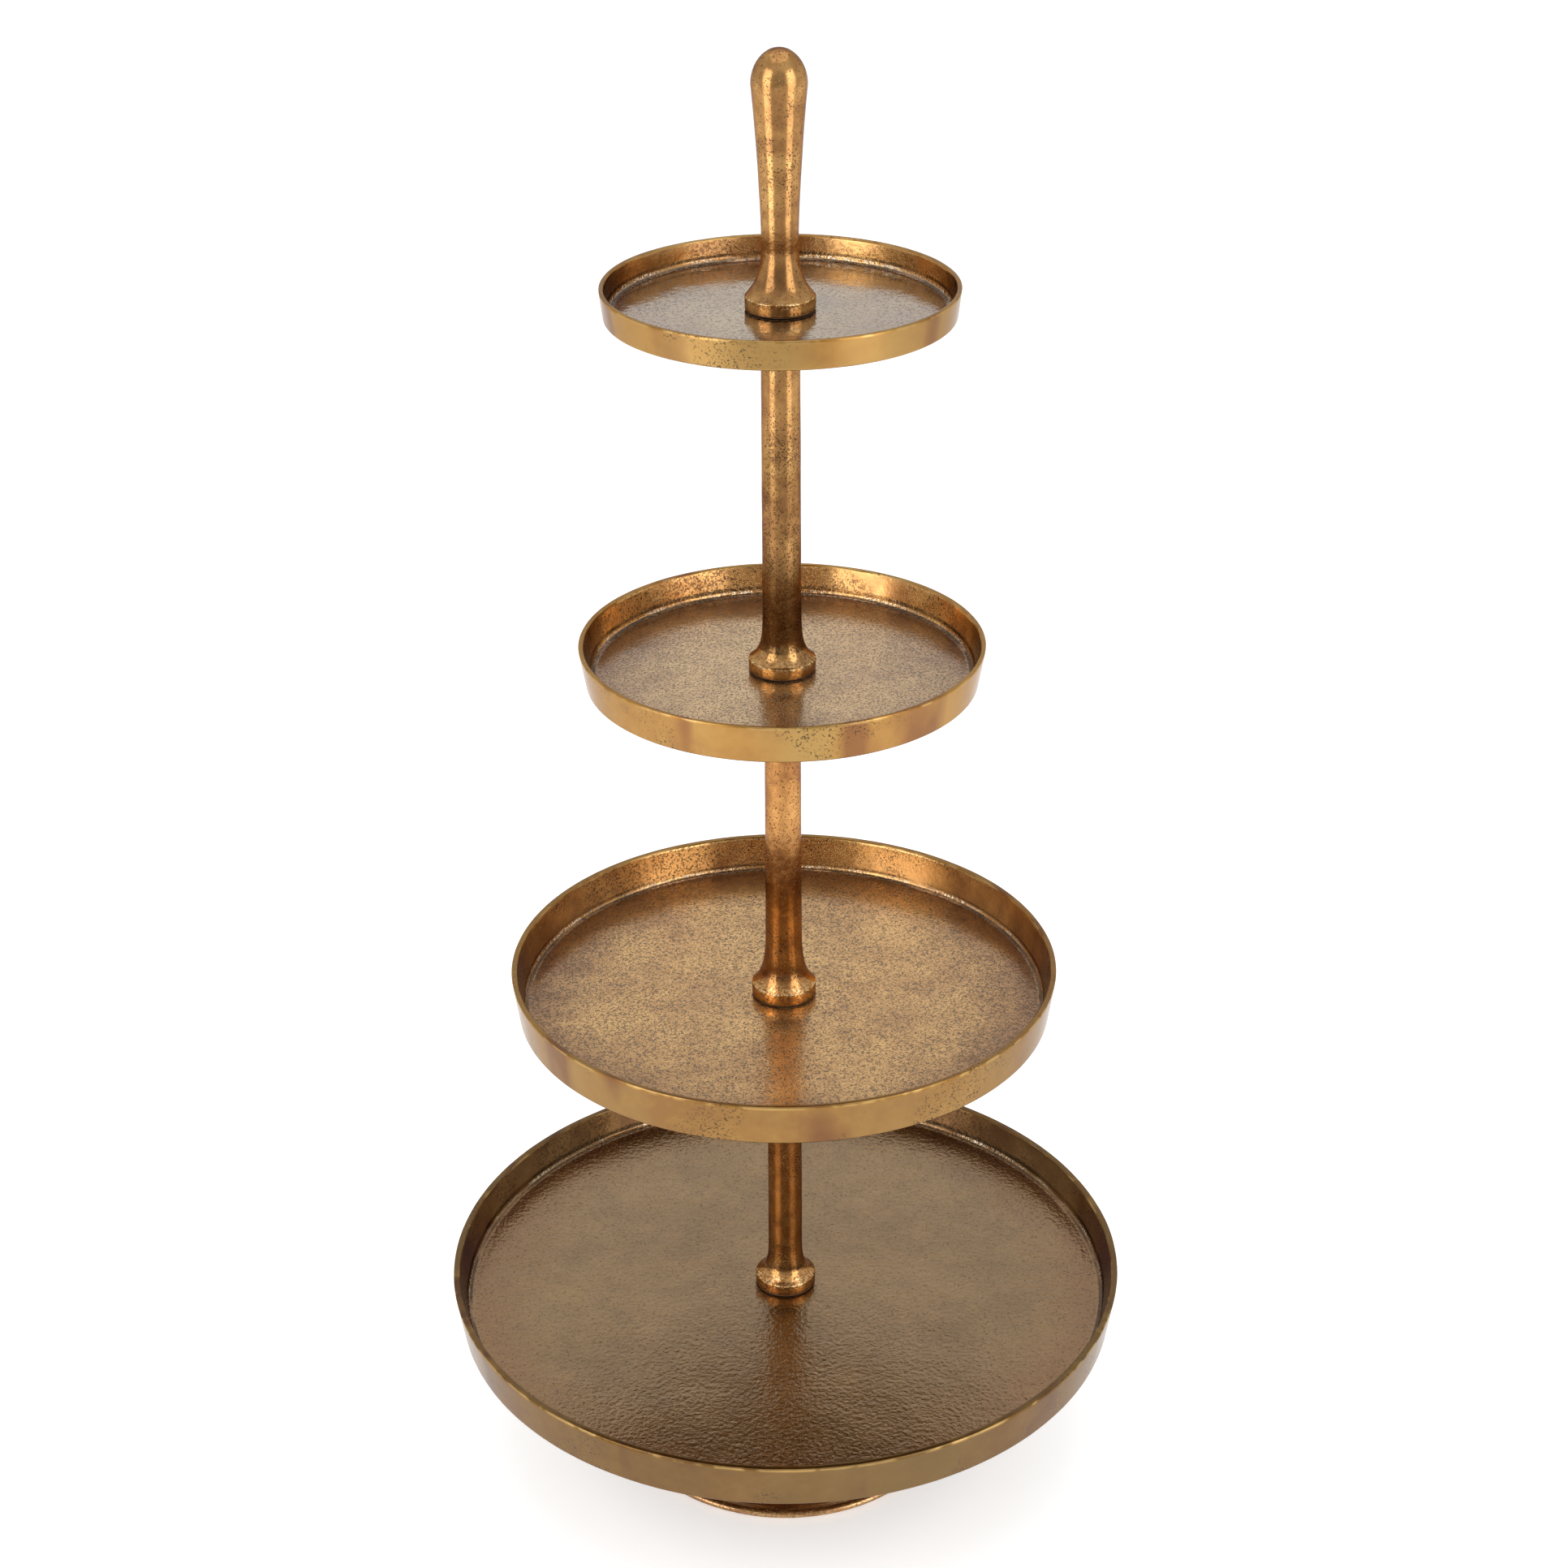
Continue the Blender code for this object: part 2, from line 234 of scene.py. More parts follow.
# Material nodes -----------------------------------------------------------------------------
class Nodes:
    """Short names for the nodes that the materials share."""

    def __init__(self, name):
        self.material = bpy.data.materials.new(name)
        self.material.use_nodes = True
        self.tree = self.material.node_tree
        self.shader = self.tree.nodes["Principled BSDF"]
        coordinates = self.tree.nodes.new("ShaderNodeTexCoord")
        self.place = coordinates.outputs["Object"]

    def feed(self, value, socket):
        """Join an output to an input, or set the input to a number or a colour."""
        if isinstance(value, tuple):
            socket.default_value = (*value, 1.0)
        elif isinstance(value, (int, float)):
            socket.default_value = value
        else:
            self.tree.links.new(value, socket)

    def stretched(self, factors):
        """Object coordinates times a factor along each axis."""
        node = self.tree.nodes.new("ShaderNodeMapping")
        node.inputs["Scale"].default_value = factors
        self.feed(self.place, node.inputs["Vector"])
        return node.outputs["Vector"]

    def radius(self):
        """Distance from the Z axis."""
        node = self.tree.nodes.new("ShaderNodeVectorMath")
        node.operation = "LENGTH"
        self.feed(self.stretched((1.0, 1.0, 0.0)), node.inputs[0])
        return node.outputs["Value"]

    def noise(self, scale, detail=2.0, roughness=0.5, place=None, distortion=0.0):
        """Noise of 0 to 1. Scale is waves in a metre."""
        node = self.tree.nodes.new("ShaderNodeTexNoise")
        node.inputs["Scale"].default_value = scale
        node.inputs["Detail"].default_value = detail
        node.inputs["Roughness"].default_value = roughness
        node.inputs["Distortion"].default_value = distortion
        self.feed(place or self.place, node.inputs["Vector"])
        return node.outputs["Fac"]

    def attribute(self, name):
        """Number stored on the mesh's points."""
        node = self.tree.nodes.new("ShaderNodeAttribute")
        node.attribute_name = name
        return node.outputs["Fac"]

    def ramp(self, value, stops):
        """Colour along value. Stops are (position, colour)."""
        node = self.tree.nodes.new("ShaderNodeValToRGB")
        band = node.color_ramp
        while len(band.elements) < len(stops):
            band.elements.new(0.5)
        for element, (position, shade) in zip(band.elements, stops):
            element.position = position
            element.color = (*shade, 1.0)
        self.feed(value, node.inputs["Fac"])
        return node.outputs["Color"]

    def span(self, value, low, high, to_low=0.0, to_high=1.0):
        """Value from low to high, moved to another range and held inside it."""
        node = self.tree.nodes.new("ShaderNodeMapRange")
        node.inputs["From Min"].default_value = low
        node.inputs["From Max"].default_value = high
        node.inputs["To Min"].default_value = to_low
        node.inputs["To Max"].default_value = to_high
        self.feed(value, node.inputs["Value"])
        return node.outputs["Result"]

    def maths(self, operation, first, second):
        """One maths node. Either side is an output or a number."""
        node = self.tree.nodes.new("ShaderNodeMath")
        node.operation = operation
        self.feed(first, node.inputs[0])
        self.feed(second, node.inputs[1])
        return node.outputs["Value"]

    def mix(self, share, under, over):
        """Colour under, with over laid on it by share. Colours are outputs or triples."""
        node = self.tree.nodes.new("ShaderNodeMix")
        node.data_type = "RGBA"
        self.feed(share, node.inputs["Factor"])
        self.feed(under, node.inputs[6])
        self.feed(over, node.inputs[7])
        return node.outputs[2]

    def bump(self, height, distance, strength=1.0, under=None):
        """Normal bent by height, whose 0 to 1 stands for distance."""
        node = self.tree.nodes.new("ShaderNodeBump")
        node.inputs["Distance"].default_value = distance
        self.feed(strength, node.inputs["Strength"])
        self.feed(height, node.inputs["Height"])
        if under:
            self.feed(under, node.inputs["Normal"])
        return node.outputs["Normal"]

    def wear_and_painted_light_strength(self):
        """How far the mesh's marks are from 0, for the bright ones (scuffed metal and painted
        highlights) and the dark ones (soiling and painted shade).
        """
        return self.maths("ABSOLUTE", self.attribute("wear_and_painted_light"), 0.0)

    def lacquer(self, weight, roughness, normal, ior=1.5):
        """Clear coat over the metal, thinner on the mesh's marks: scuffed metal, painted
        highlights, soiling and painted shade.
        """
        self.feed(self.span(self.wear_and_painted_light_strength(), 0.0, 0.6, weight, 0.3 * weight),
                  self.shader.inputs["Coat Weight"])
        self.shader.inputs["Coat Roughness"].default_value = roughness
        self.shader.inputs["Coat IOR"].default_value = ior
        self.feed(normal, self.shader.inputs["Coat Normal"])

    def painted_edge_shade(self, tint):
        """Painted shade that darkens the metal's reflection to a tint where it is seen edge-on."""
        self.shader.inputs["Specular Tint"].default_value = (*tint, 1.0)

    def finish(self, color, roughness, normal, metallic=1.0):
        """Join what the shader reads, and return the material."""
        self.shader.inputs["Metallic"].default_value = metallic
        self.feed(color, self.shader.inputs["Base Color"])
        self.feed(roughness, self.shader.inputs["Roughness"])
        self.feed(normal, self.shader.inputs["Normal"])
        return self.material


# Materials ----------------------------------------------------------------------------------
# What shows in a casting's pits, where its marks are bright and where they are dark, and how
# finely the bright places break up, in waves a metre. On floors and inner walls the bright colour
# is a painted glint in the fillet and the dark one soiling with painted shade beside it; on outer
# walls the bright colour is scuffed metal on the rim; on stems it is scuffed metal with a painted
# highlight at the collar, and the dark one painted shade on the collar's band and a darkening
# that fades up the shaft from the collar.
PATINAS = {
    "floor": {"pit": (0.032, 0.017, 0.007), "bright": (0.72, 0.58, 0.40),
              "grime_and_shade": (0.030, 0.026, 0.016), "grain": 700.0},
    "inner": {"pit": (0.050, 0.026, 0.010), "bright": (0.85, 0.74, 0.58),
              "grime_and_shade": (0.030, 0.026, 0.016), "grain": 700.0},
    "outer": {"pit": (0.045, 0.022, 0.008), "bright": (0.66, 0.42, 0.15),
              "grime_and_shade": (0.060, 0.030, 0.012), "grain": 60.0},
    "shaft": {"pit": (0.060, 0.026, 0.009), "bright": (0.80, 0.58, 0.30),
              "grime_and_shade": (0.090, 0.045, 0.017), "grain": 600.0},
}
# Painted reflection of the wall in a tray's floor: a ragged brown ring just inside the wall.
PAINTED_WALL_REFLECTION = (0.255, 0.102, 0.026)  # a tray's floor near its wall
WALL_REFLECTION_REACH = 46 * MM          # from the wall to where the brown starts
WALL_REFLECTION_FULL = 8 * MM            # and to where it is full
WALL_REFLECTION_RAGGED = 14 * MM         # how far the brown's edge wanders
UNDER_TONES = ((0.110, 0.060, 0.026), (0.160, 0.092, 0.040), (0.220, 0.130, 0.058))


def toned(nodes, tones, parts):
    """Cloudy colour of a casting from dark to light. Parts are (scale, share) of the noises."""
    tone = None
    for scale, share in parts:
        layer = nodes.maths("MULTIPLY", nodes.noise(scale, 3.0, 0.6), share)
        tone = layer if tone is None else nodes.maths("ADD", tone, layer)
    return nodes.ramp(tone, ((0.40, tones[0]), (0.50, tones[1]), (0.60, tones[2])))


def pitted(nodes, color, patina, pits, dark):
    """Colour darkened in the pits, which are 0 to 1, by how dark they are."""
    return nodes.mix(nodes.maths("MULTIPLY", pits, dark), color, patina["pit"])


def worn_and_painted_light(nodes, color, patina):
    """The bright colour where the mesh's marks are over 0, for scuffed metal and painted
    highlights, and the dark colour where they are under 0, for soiling and painted shade.
    """
    wear_and_painted_light = nodes.attribute("wear_and_painted_light")
    broken = nodes.span(nodes.noise(patina["grain"], 2.0, 0.6), 0.47, 0.56)
    shine = nodes.maths("MULTIPLY", nodes.span(wear_and_painted_light, 0.0, 1.0), broken)
    color = nodes.mix(shine, color, patina["bright"])
    return nodes.mix(nodes.span(wear_and_painted_light, 0.0, -1.0), color, patina["grime_and_shade"])


def sunk_pits(nodes, pits, depth, strength, normal):
    """Normal with the pits sunk into it."""
    return nodes.bump(nodes.maths("SUBTRACT", 1.0, pits), depth, strength, normal)


def hammered(nodes, normal):
    """Ragged casting in a tray's fillet, where the mesh carries its painted glint and its soiling
    and painted shade.
    """
    ragged = nodes.noise(430.0, 2.0, 0.6)
    return nodes.bump(ragged, 0.7 * MM, nodes.span(nodes.wear_and_painted_light_strength(), 0.05, 0.6), normal)


def cast_floor(name, tones, look, edge_r):
    """Sand-cast tray floor under an antique coating: orange peel, fine pits, cloudy tones, a
    painted reflection of the wall near its edge and a painted glint in its fillet.

    look holds the pits' scale, the noise from which they show, how dark and how deep they are,
    the height of the orange peel in mm, the metal's roughness, the coat's IOR, and how strong the
    painted reflection of the wall is at edge_r, where the wall starts.
    """
    nodes = Nodes(name)
    color = toned(nodes, tones, ((11.0, 0.45), (50.0, 0.35), (260.0, 0.20)))
    specks = nodes.noise(look["scale"], 2.0, 0.6, distortion=0.8)
    drift = nodes.span(nodes.noise(40.0, 3.0, 0.6), 0.3, 0.7, -0.015, 0.015)
    pits = nodes.span(nodes.maths("ADD", specks, drift), look["from"], look["from"] + 0.05)
    # Painted reflection of the wall, full near it, with a ragged inner edge.
    ragged = nodes.span(nodes.noise(24.0, 4.0, 0.65), 0.3, 0.7, -WALL_REFLECTION_RAGGED, WALL_REFLECTION_RAGGED)
    wall_reflection_share = nodes.span(nodes.maths("ADD", nodes.radius(), ragged), edge_r - WALL_REFLECTION_REACH,
                          edge_r - WALL_REFLECTION_FULL, 0.0, look["browned"])
    color = nodes.mix(wall_reflection_share, color, PAINTED_WALL_REFLECTION)
    color = pitted(nodes, color, PATINAS["floor"], pits, look["dark"])
    # Painted glint in the fillet, with soiling and painted shade either side of it.
    color = worn_and_painted_light(nodes, color, PATINAS["floor"])
    normal = nodes.bump(nodes.noise(look["scale"] * 0.5, 2.0, 0.55), look["peel"] * MM)
    normal = sunk_pits(nodes, pits, 0.10 * MM, look["deep"], normal)
    normal = hammered(nodes, normal)
    nodes.lacquer(1.0, look["gloss"] * 0.5, normal, look["ior"])
    return nodes.finish(color, look["gloss"], normal)


def rough_under(name):
    """Unpolished, browned underside of a tray."""
    nodes = Nodes(name)
    color = toned(nodes, UNDER_TONES, ((14.0, 0.50), (60.0, 0.50)))
    normal = nodes.bump(nodes.noise(500.0, 3.0, 0.6), 0.25 * MM, 0.8)
    return nodes.finish(color, 0.42, normal)


def cast_inner(name, tones):
    """Inside of a tray's wall: smoother brown casting with fields of fine pits."""
    nodes = Nodes(name)
    color = toned(nodes, tones, ((12.0, 0.50), (40.0, 0.50)))
    where = nodes.span(nodes.noise(26.0, 3.0, 0.6), 0.40, 0.54)
    field = nodes.noise(700.0, 2.0, 0.6, distortion=0.6)
    pits = nodes.maths("MULTIPLY", nodes.span(field, 0.53, 0.59), where)
    color = pitted(nodes, color, PATINAS["inner"], pits, 0.70)
    # Painted glint where the wall meets the fillet, with soiling and painted shade either side of
    # it.
    color = worn_and_painted_light(nodes, color, PATINAS["inner"])
    normal = nodes.bump(nodes.noise(420.0, 2.0, 0.5), 0.12 * MM, 0.6)
    normal = sunk_pits(nodes, pits, 0.12 * MM, 0.8, normal)
    normal = hammered(nodes, normal)
    nodes.lacquer(0.35, 0.12, normal)
    # Painted shade where the inner wall is seen edge-on.
    nodes.painted_edge_shade((0.32, 0.24, 0.17))
    return nodes.finish(color, 0.22, normal)


def brushed_wall(name, tones, olive, stain, yellowing):
    """Outside of a tray's wall: smooth brushed metal, faint upright stains and pits."""
    nodes = Nodes(name)
    color = toned(nodes, tones, ((11.0, 0.50), (32.0, 0.30), (150.0, 0.20)))
    yellowed = nodes.noise(1.0, 2.0, 0.5, nodes.stretched((13.0, 13.0, 3.0)))
    color = nodes.mix(nodes.span(yellowed, 0.50, 0.62, 0.0, yellowing), color, olive)
    smudge = nodes.noise(1.0, 2.0, 0.5, nodes.stretched((24.0, 24.0, 4.0)))
    color = nodes.mix(nodes.span(smudge, 0.56, 0.66, 0.0, 0.75), color, stain)
    where = nodes.span(nodes.noise(21.0, 2.0, 0.5), 0.53, 0.62)
    field = nodes.noise(720.0, 2.0, 0.6, distortion=0.5)
    pits = nodes.maths("MULTIPLY", nodes.span(field, 0.58, 0.63), where)
    color = pitted(nodes, color, PATINAS["outer"], pits, 0.8)
    color = worn_and_painted_light(nodes, color, PATINAS["outer"])
    brush = nodes.noise(1.0, 3.0, 0.6, nodes.stretched((900.0, 900.0, 60.0)))
    normal = nodes.bump(brush, 0.03 * MM, 0.5)
    normal = nodes.bump(nodes.noise(340.0, 2.0, 0.5), 0.05 * MM, 0.6, normal)
    normal = sunk_pits(nodes, pits, 0.15 * MM, 0.8, normal)
    nodes.lacquer(0.6, 0.15, normal)
    # Painted shade where the outer wall is seen edge-on.
    nodes.painted_edge_shade((0.56, 0.45, 0.35))
    return nodes.finish(color, 0.28, normal)


def cast_shaft(name, tones, look):
    """Stems, handle and foot: polished metal over a finely pitted casting.

    look holds the noise from which the pits show, how dark and how deep they are, and the
    metal's roughness.
    """
    nodes = Nodes(name)
    color = toned(nodes, tones, ((28.0, 0.50), (110.0, 0.50)))
    specks = nodes.noise(900.0, 2.0, 0.6, distortion=0.6)
    drift = nodes.span(nodes.noise(45.0, 2.0, 0.5), 0.3, 0.7, -0.05, 0.05)
    # More pits where the mesh is marked dark: on the collar's band, with its painted shade, and up
    # the shaft from the collar.
    grimy_and_shaded = nodes.span(nodes.attribute("wear_and_painted_light"), 0.0, -1.0, 0.0, 0.12)
    local = nodes.maths("ADD", nodes.maths("ADD", specks, drift), grimy_and_shaded)
    pits = nodes.span(local, look["from"], look["from"] + 0.06)
    color = pitted(nodes, color, PATINAS["shaft"], pits, look["dark"])
    # Scuffed metal with a painted highlight on the collar's edge and flare, painted shade on its
    # band, and a darkening up the shaft.
    color = worn_and_painted_light(nodes, color, PATINAS["shaft"])
    normal = nodes.bump(nodes.noise(360.0, 2.0, 0.55), 0.06 * MM, look["deep"])
    normal = sunk_pits(nodes, pits, 0.12 * MM, look["deep"], normal)
    nodes.lacquer(0.5, 0.15, normal)
    # Painted shade where a stem is seen edge-on.
    nodes.painted_edge_shade((0.36, 0.24, 0.14))
    return nodes.finish(color, look["gloss"], normal)


def plated_steel():
    """Zinc-plated steel of the studs, the screw and its washer."""
    nodes = Nodes("plated_steel")
    clouds = nodes.noise(180.0, 3.0, 0.6)
    color = nodes.ramp(clouds, ((0.3, (0.42, 0.42, 0.43)), (0.7, (0.66, 0.66, 0.65))))
    normal = nodes.bump(nodes.noise(2600.0, 2.0), 0.02 * MM, 0.6)
    return nodes.finish(color, nodes.span(clouds, 0.3, 0.7, 0.28, 0.42), normal)


def brown_rubber():
    """Dark brown rubber of the washers."""
    nodes = Nodes("brown_rubber")
    grains = nodes.noise(1500.0, 3.0)
    color = nodes.ramp(grains, ((0.35, (0.110, 0.058, 0.028)), (0.7, (0.180, 0.100, 0.050))))
    return nodes.finish(color, 0.5, nodes.bump(grains, 0.05 * MM, 0.6), 0.0)


def brown_felt():
    """Felt of the pads under the foot."""
    nodes = Nodes("brown_felt")
    fibres = nodes.noise(1800.0, 4.0, 0.7, distortion=1.5)
    color = nodes.ramp(fibres, ((0.3, (0.030, 0.018, 0.010)), (0.7, (0.11, 0.075, 0.045))))
    nodes.shader.inputs["Sheen Weight"].default_value = 0.4
    return nodes.finish(color, 0.95, nodes.bump(fibres, 0.2 * MM, 0.9), 0.0)


# Trays --------------------------------------------------------------------------------------
TRAY_SEGMENTS = {1: 720, 2: 600, 3: 480, 4: 440}
RIM_OUT = 0.9 * MM               # rounding of the rim's outer edge
RIM_IN = 1.1 * MM                # rounding of the rim's inner edge and the wall's lower edge
FILLET_R = 3.5 * MM
FLOOR_STEP = 3.2 * MM            # between the rings of points on a floor
UNDER_STEP = 9 * MM              # and on an underside
CALM_R = 19 * MM                 # the floor is flat up to here, where the collar stands
CALM_FADE = 10 * MM
RIM_RUB = 1.2 * MM               # how far down the outside the rim's bright wear reaches
# Painted glint along the fillet, broken, and soiling with painted shade either side of it.
FILLET_GLINT = (0.30, 0.85)     # heights over the floor, as shares of the fillet's radius
FILLET_GRIME_AND_SHADE = (0.02, 1.4)

# Each tray's floor tones, from dark to light. They differ from tray to tray partly as the
# castings differ and partly as painted light: each is made lighter or darker, greyer or warmer,
# for how light falls on that tray and what its floor reflects.
FLOOR_TONES = {
    1: ((0.250, 0.146, 0.052), (0.295, 0.173, 0.063), (0.340, 0.203, 0.075)),
    2: ((0.530, 0.285, 0.096), (0.680, 0.385, 0.132), (0.830, 0.500, 0.175)),
    3: ((0.480, 0.280, 0.108), (0.620, 0.385, 0.155), (0.760, 0.490, 0.205)),
    4: ((0.290, 0.186, 0.080), (0.385, 0.258, 0.115), (0.480, 0.332, 0.150)),
}
# In each look, browned is how strong the painted reflection of the wall is near the wall.
FLOOR_LOOKS = {
    1: {"scale": 700.0, "from": 0.61, "dark": 0.50, "gloss": 0.26, "peel": 0.42, "deep": 0.8,
        "ior": 1.5, "browned": 0.50},
    2: {"scale": 830.0, "from": 0.52, "dark": 0.75, "gloss": 0.26, "peel": 0.12, "deep": 1.0,
        "ior": 1.5, "browned": 0.80},
    3: {"scale": 780.0, "from": 0.53, "dark": 0.78, "gloss": 0.23, "peel": 0.14, "deep": 1.0,
        "ior": 1.6, "browned": 0.80},
    4: {"scale": 600.0, "from": 0.57, "dark": 0.85, "gloss": 0.15, "peel": 0.14, "deep": 0.8,
        "ior": 1.8, "browned": 0.70},
}
INNER_TONES = ((0.300, 0.145, 0.046), (0.430, 0.228, 0.074), (0.550, 0.310, 0.105))
# Painted light and shade: each tray's inner wall is made lighter or darker by this factor, for how
# light falls on it and what it reflects.
INNER_LIGHT_AND_SHADE = {1: 0.49, 2: 1.16, 3: 1.42, 4: 1.14}      # what a tray's tones are multiplied by
OUTER_TONES = ((0.360, 0.170, 0.036), (0.430, 0.215, 0.043), (0.500, 0.268, 0.062))
OUTER_OLIVE = (0.450, 0.275, 0.078)
OUTER_STAIN = (0.220, 0.072, 0.019)
# Painted light and shade: each tray's outer wall is made lighter or darker by this factor, the
# lowest tray darkest for the shade under the trays above.
OUTER_LIGHT_AND_SHADE = {1: 0.38, 2: 0.67, 3: 0.88, 4: 0.83}
YELLOWING = {1: 0.5, 2: 0.3, 3: 0.7, 4: 0.6}


def scaled(shades, factor):
    """Colours times a factor."""
    return tuple(tuple(channel * factor for channel in shade) for shade in shades)


def tray_sizes(tier):
    """The heights and radii of a tray, from its CAD box and the washer that lies on it."""
    low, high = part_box(f"tray_{tier}")
    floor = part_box(f"collar_washer_{tier}")[0].z - GAP
    return {"rim_r": high.x, "rim_z": high.z, "under_z": low.z, "floor_z": floor,
            "base_r": high.x - TRAY_LEAN[tier], "wall": TRAY_WALL[tier]}


def tray_materials(tier, size):
    """Material of each of a tray's faces. Each tray has its own copies, made lighter or darker as
    painted light and shade.
    """
    floor = cast_floor(f"tray_{tier}_floor", FLOOR_TONES[tier], FLOOR_LOOKS[tier],
                       size["base_r"] - size["wall"])
    inner = cast_inner(f"tray_{tier}_inner", scaled(INNER_TONES, INNER_LIGHT_AND_SHADE[tier]))
    olive, stain = scaled((OUTER_OLIVE, OUTER_STAIN), OUTER_LIGHT_AND_SHADE[tier])
    outer = brushed_wall(f"tray_{tier}_outer", scaled(OUTER_TONES, OUTER_LIGHT_AND_SHADE[tier]), olive,
                         stain, YELLOWING[tier])
    return {"floor": floor, "inner": inner, "rim": outer, "outer": outer,
            "under": rough_under(f"tray_{tier}_under")}


def tray_outline(size):
    """Dense outline of a tray, from the hole's upper edge out and round to its lower edge."""
    floor = size["floor_z"]
    under = size["under_z"]
    rim = size["rim_z"]
    rim_r = size["rim_r"]
    base_r = size["base_r"]
    low_r = base_r - size["wall"]
    top_r = rim_r - size["wall"]
    fillet_r = low_r - FILLET_R
    fillet = ((fillet_r, floor + FILLET_R), (FILLET_R, FILLET_R))
    points = [(HOLE_R, floor, "floor")]
    points += line((HOLE_R, floor), (fillet_r, floor), round(fillet_r / FLOOR_STEP), "floor")
    points += arc(*fillet, -90, -35, 5, "floor")
    points += arc(*fillet, -35, -2, 3, "inner")
    points += line((low_r, floor + FILLET_R), (top_r, rim - RIM_IN), 12, "inner")
    points += arc((top_r + RIM_IN, rim - RIM_IN), (RIM_IN, RIM_IN), 180, 90, 4, "rim")
    points += line((top_r + RIM_IN, rim), (rim_r - RIM_OUT, rim), 2, "rim")
    points += arc((rim_r - RIM_OUT, rim - RIM_OUT), (RIM_OUT, RIM_OUT), 90, 0, 4, "rim")
    points += line((rim_r, rim - RIM_OUT), (base_r, under + RIM_IN), 14, "outer")
    points += arc((base_r - RIM_IN, under + RIM_IN), (RIM_IN, RIM_IN), 0, -90, 4, "outer")
    points += line((base_r - RIM_IN, under), (HOLE_R, under), round(base_r / UNDER_STEP), "under")
    return points


def tray_relief(seed):
    """How a hand-cast tray departs from its outline. The outside only moves inward."""

    def relief(place, outward, angle, face):
        if face == "floor":
            calm = clamped((math.hypot(place.x, place.y) - CALM_R) / CALM_FADE)
            return calm * rippled(place, seed, (0.22 * MM, 45 * MM), (0.05 * MM, 9 * MM))
        if face == "inner":
            return rippled(place, seed + 2, (0.35 * MM, 38 * MM), (0.07 * MM, 8 * MM))
        if face == "rim":
            return sunk(place, seed + 4, (0.30 * MM, 55 * MM), (0.05 * MM, 7 * MM))
        if face == "outer":
            return sunk(place, seed + 6, (0.25 * MM, 60 * MM), (0.04 * MM, 10 * MM))
        return 0.08 * MM * (uneven(place, 12 * MM, seed + 8) - 1)

    return relief


def tray_wear_and_painted_light(seed, size):
    """Bright metal on the rim's edges, and in the floor's fillet a broken painted glint with
    soiling and painted shade either side of it.
    """
    half = 0.5 * size["wall"]
    rub_z = size["rim_z"] - RIM_RUB

    def wear_and_painted_light(place, face):
        if face == "rim":
            from_middle = abs(math.hypot(place.x, place.y) - (size["rim_r"] - half))
            edge = clamped(from_middle / half) ** 4
            return clamped(0.55 * edge + 0.25 * uneven(place, 12 * MM, seed))
        if face == "outer" and place.z > rub_z:
            return clamped(0.4 + 0.5 * uneven(place, 15 * MM, seed + 1))
        if face in ("floor", "inner"):
            rise = (place.z - size["floor_z"]) / FILLET_R
            # Painted glint, broken, in the fillet.
            if FILLET_GLINT[0] < rise < FILLET_GLINT[1]:
                return clamped(0.45 + uneven(place, 24 * MM, seed + 2))
            # Soiling and painted shade either side of the glint.
            if FILLET_GRIME_AND_SHADE[0] < rise < FILLET_GRIME_AND_SHADE[1]:
                return -0.7 * clamped(0.8 + uneven(place, 24 * MM, seed + 3))
        return 0.0

    return wear_and_painted_light


def add_tray(tier):
    """One tray in the place of its CAD node."""
    size = tray_sizes(tier)
    piece = spun(f"cast_tray_{tier}", tray_outline(size), TRAY_SEGMENTS[tier],
                 tray_materials(tier, size), tray_relief(3.0 * tier), tray_wear_and_painted_light(5.0 * tier, size))
    placed(piece, BODY_UNDER[tier], "cast_tray", f"tray_{tier}")


# Stems and handle ---------------------------------------------------------------------------
STEM_SEGMENTS = 144
SHAFT_STEP = 2.5 * MM            # between the rings of points on a shaft
SHAFT_TAPER = 0.2 * MM           # how much thinner a shaft is under its head
FLARE_H = 30 * MM                # from a stem's collar up to where the flare has died out
FLARE_STEPS = 30
CROWDING = 1.6                   # gathers a flare's points near its collar
BAND_EDGE = 0.6 * MM             # from the collar's band up to the flare's last point
BORE_DEPTH = 19 * MM             # for the stud, in a collar
SOCKET_DEPTH = 16.5 * MM         # for the next stud, in a stem's head
HEAD_H = 2.6 * MM
HEAD_EDGE = 0.6 * MM             # rounding of the head's edges
COVE_H = 8.4 * MM                # hollow curve from the head down to the shaft
GRIP_NECK_H = 31.2 * MM          # narrowest place of the grip, over the handle's lower end
GRIP_DOME_H = 18.3 * MM
GRIP_R = 14.8 * MM
GRIP_STEPS = 40
GRIP_POWER = 1.6                 # how late the grip widens
BORE_CALM_R = 6 * MM             # nothing is uneven within this radius
# The collar's upper edge is scuffed bright metal with a painted highlight, the flare over it
# carries a painted highlight that fades out, and the band under it painted shade.
BRIGHT_BELOW = 0.6               # in mm from the band's top, the edge that is rubbed bright
BRIGHT_ABOVE = 0.7
FLARE_HIGHLIGHT_FADE = 7.0                # and the height over it where the flare is bright no longer


def flare(shape, collar_r, height):
    """Radius of a stem at a height over its collar."""
    left = math.exp(-(height / shape["fall"]) ** shape["power"])
    return shape["shaft_r"] + (collar_r - shape["shaft_r"]) * left


